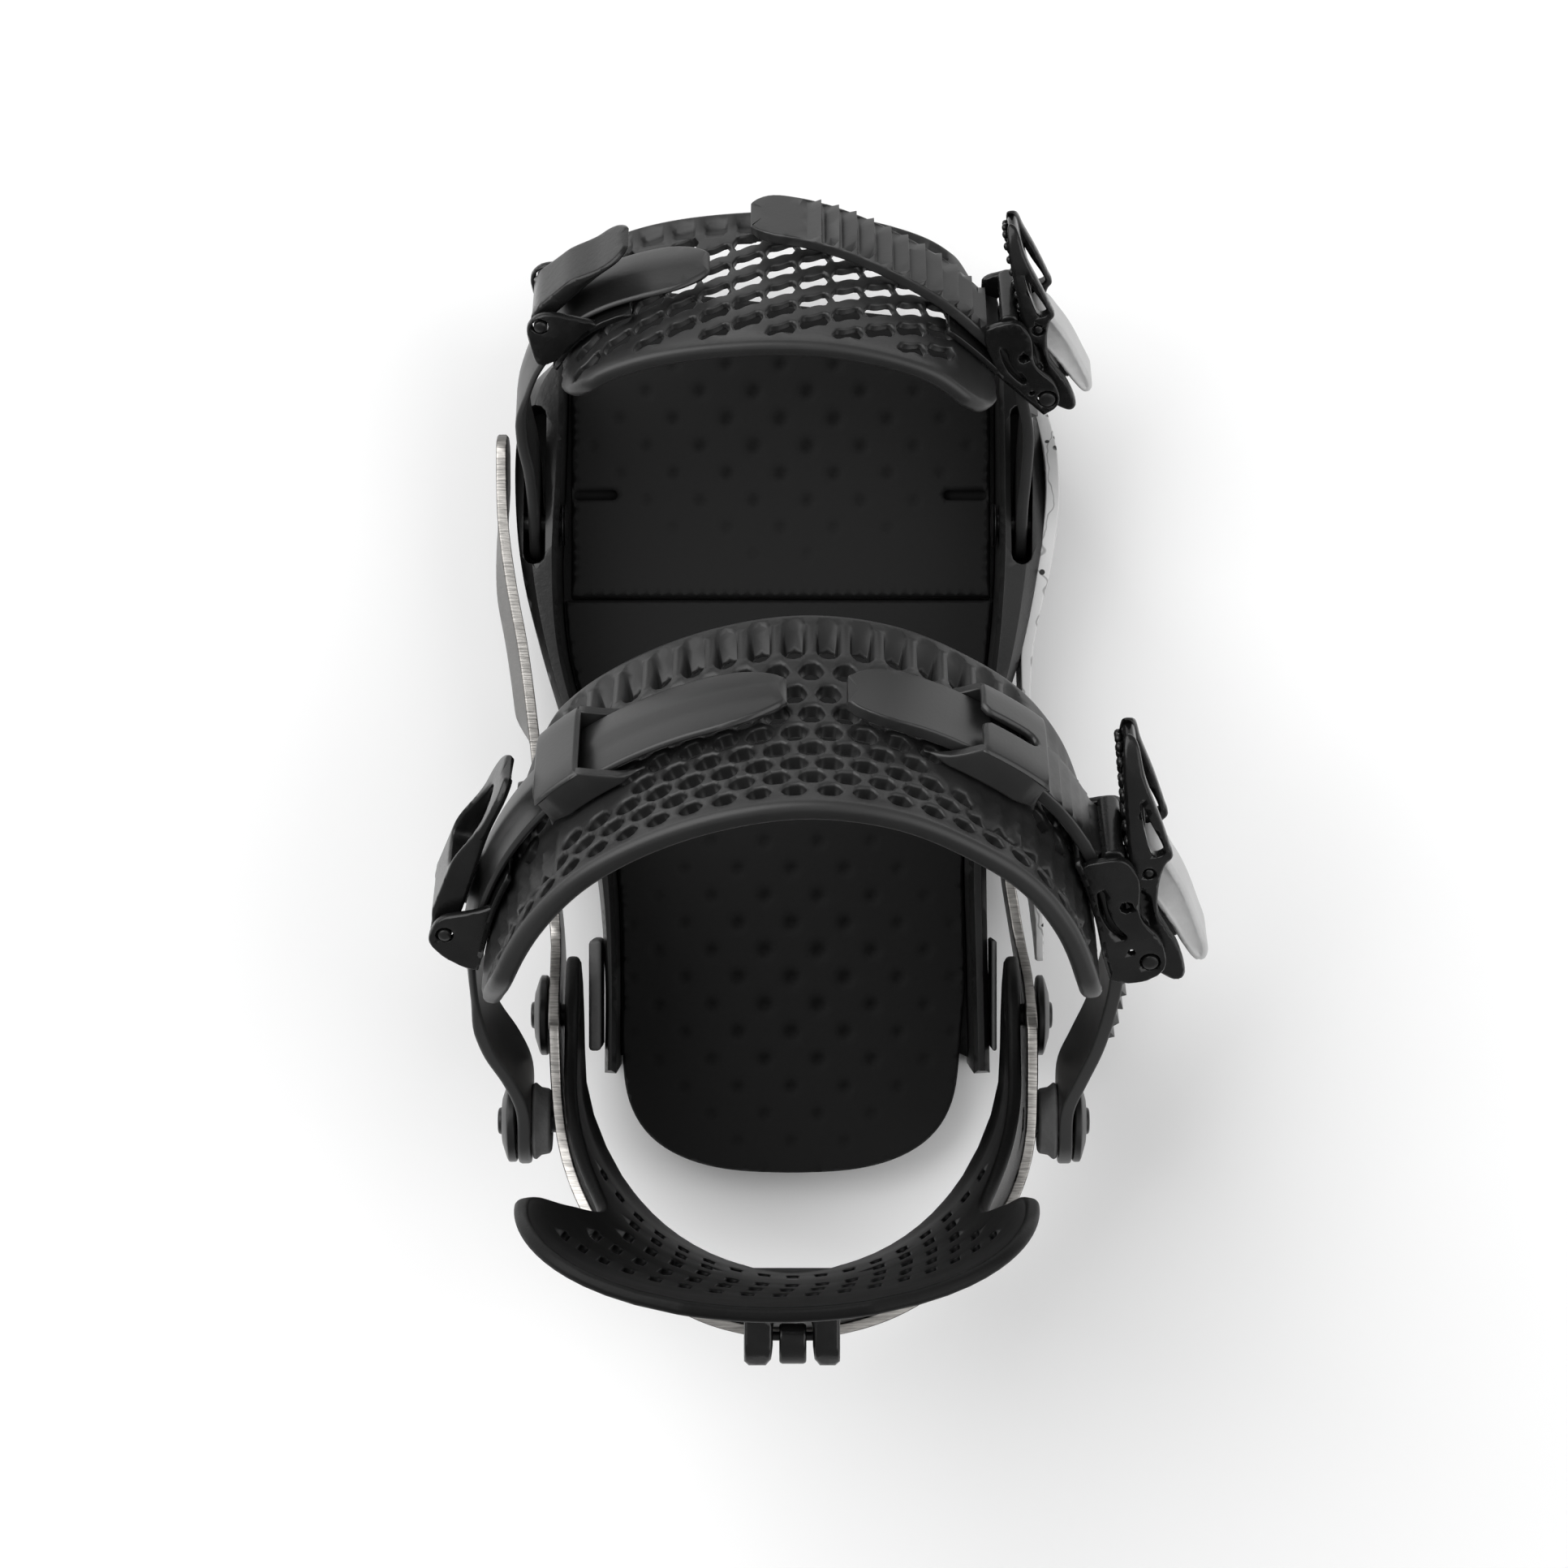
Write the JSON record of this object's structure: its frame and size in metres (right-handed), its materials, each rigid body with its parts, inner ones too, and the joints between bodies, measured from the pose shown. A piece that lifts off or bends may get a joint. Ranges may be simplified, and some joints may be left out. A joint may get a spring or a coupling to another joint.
{
  "type": "snowboard binding",
  "caption": "Strap snowboard binding for a right foot: baseplate with padded footbed, metal heel hoop, folding highback, ankle and toe straps with ratchet buckles.",
  "frame": {"origin": "centre of the mounting disc on its bottom face, which lies on the board's top face", "axes": "+Z out of the board, +Y to the toe, +X to the outside of the right foot, where the ratchets are"},
  "size_m": [0.1934, 0.2968, 0.24],
  "materials": {
    "chassis": "glass-filled nylon, satin moulded",
    "footbed": "matt EVA foam with shallow dimples",
    "panel": "light grey recycled plastic with dark specks",
    "spacer": "matt moulded plastic",
    "disc": "satin moulded plastic",
    "fastener": "black coated steel",
    "hoop": "brushed metal band",
    "highback": "black nylon shell, satin",
    "buckle": "black satin coated cast metal",
    "strap_pad": "moulded flexible pad, satin",
    "strap": "smooth flexible plastic strap, satin",
    "release_tab": "light grey moulded plastic"
  },
  "bodies": {
    "baseplate": {"chassis": "chassis", "heel_pad": "footbed", "side_panel": "panel", "heel_spacer_left": "spacer", "heel_spacer_right": "spacer", "toe_bolt_left": "fastener", "toe_bolt_right": "fastener", "hoop_bolt_left": "fastener", "hoop_bolt_right": "fastener"},
    "disc": {"mounting_disc": "disc"},
    "toe_ramp": {"toe_ramp": "chassis", "toe_pad": "footbed"},
    "heel_hoop": {"heel_hoop": "hoop", "fold_bolt_left": "fastener", "fold_bolt_right": "fastener", "ankle_spacer_left": "spacer", "ankle_spacer_right": "spacer", "ankle_bolt_left": "fastener", "ankle_bolt_right": "fastener"},
    "highback": {"highback": "highback", "lean_block": "buckle", "lean_pin": "fastener", "lean_screw": "fastener"},
    "lean_lever": {"lean_lever": "buckle"},
    "ankle_strap": {"ankle_pad": "strap_pad", "ankle_guide_left": "strap", "ankle_guide_right": "strap", "ankle_mount_strap": "strap", "ankle_ladder": "strap", "ankle_ratchet_frame": "buckle", "ankle_ratchet_pin": "fastener", "ankle_adjuster_frame": "buckle", "ankle_adjuster_pin": "fastener"},
    "ankle_ratchet_lever": {"ankle_ratchet_lever": "buckle", "ankle_drive_pawl": "fastener", "ankle_release_pin": "fastener"},
    "ankle_release_tab": {"ankle_release_tab": "release_tab"},
    "ankle_adjuster_lever": {"ankle_adjuster_lever": "buckle"},
    "toe_strap": {"toe_strap_pad": "strap_pad", "toe_mount_strap": "strap", "toe_ladder": "strap", "toe_ratchet_frame": "buckle", "toe_ratchet_pin": "fastener", "toe_adjuster_frame": "buckle", "toe_adjuster_pin": "fastener"},
    "toe_ratchet_lever": {"toe_ratchet_lever": "buckle", "toe_drive_pawl": "fastener", "toe_release_pin": "fastener"},
    "toe_release_tab": {"toe_release_tab": "release_tab"},
    "toe_adjuster_lever": {"toe_adjuster_lever": "buckle"}
  },
  "joints": [
    {"name": "disc_turn", "type": "hinge", "parent": "baseplate", "child": "disc", "pos_m": [0, 0, 0], "axis": [0, 0, 1], "continuous": true},
    {"name": "toe_ramp_slide", "type": "slide", "parent": "baseplate", "child": "toe_ramp", "axis": [0, 1, 0], "range_m": [0, 0.01]},
    {"name": "heel_hoop_slide", "type": "slide", "parent": "baseplate", "child": "heel_hoop", "axis": [0, 1, 0], "range_m": [-0.005, 0.005]},
    {"name": "highback_fold", "type": "hinge", "parent": "heel_hoop", "child": "highback", "pos_m": [0.0022, -0.06, 0.056], "axis": [-1, 0, 0], "range_deg": [0, 28]},
    {"name": "lean_lever_turn", "type": "hinge", "parent": "highback", "child": "lean_lever", "pos_m": [0.0022, -0.138, 0.0985], "axis": [-1, 0, 0], "range_deg": [0, 80]},
    {"name": "ankle_strap_swing", "type": "hinge", "parent": "heel_hoop", "child": "ankle_strap", "pos_m": [0, -0.087, 0.062], "axis": [-1, 0, 0], "range_deg": [0, 12]},
    {"name": "ankle_ratchet_open", "type": "hinge", "parent": "ankle_strap", "child": "ankle_ratchet_lever", "pos_m": [0.0906, -0.03604, 0.09835], "axis": [0, 0.5807, -0.8141], "range_deg": [0, 55]},
    {"name": "ankle_release_press", "type": "hinge", "parent": "ankle_ratchet_lever", "child": "ankle_release_tab", "pos_m": [0.08947, -0.01615, 0.11254], "axis": [0, 0.5807, -0.8141], "range_deg": [0, 5], "stiffness_Nm_per_rad": 0.3, "springref_deg": -5.73},
    {"name": "ankle_adjuster_open", "type": "hinge", "parent": "ankle_strap", "child": "ankle_adjuster_lever", "pos_m": [-0.0836, -0.0292, 0.10323], "axis": [0, -0.5807, 0.8141], "range_deg": [0, 70]},
    {"name": "toe_strap_swing", "type": "hinge", "parent": "baseplate", "child": "toe_strap", "pos_m": [0, 0.0685, 0.033], "axis": [1, 0, 0], "range_deg": [-8, 10]},
    {"name": "toe_ratchet_open", "type": "hinge", "parent": "toe_strap", "child": "toe_ratchet_lever", "pos_m": [0.0672, 0.10624, 0.0658], "axis": [0, 0.6561, -0.7547], "range_deg": [0, 55]},
    {"name": "toe_release_press", "type": "hinge", "parent": "toe_ratchet_lever", "child": "toe_release_tab", "pos_m": [0.0644, 0.12048, 0.07819], "axis": [0, 0.6561, -0.7547], "range_deg": [0, 5], "stiffness_Nm_per_rad": 0.2, "springref_deg": -5.73},
    {"name": "toe_adjuster_open", "type": "hinge", "parent": "toe_strap", "child": "toe_adjuster_lever", "pos_m": [-0.0614, 0.12314, 0.0805], "axis": [0, -0.6561, 0.7547], "range_deg": [0, 70]}
  ]
}
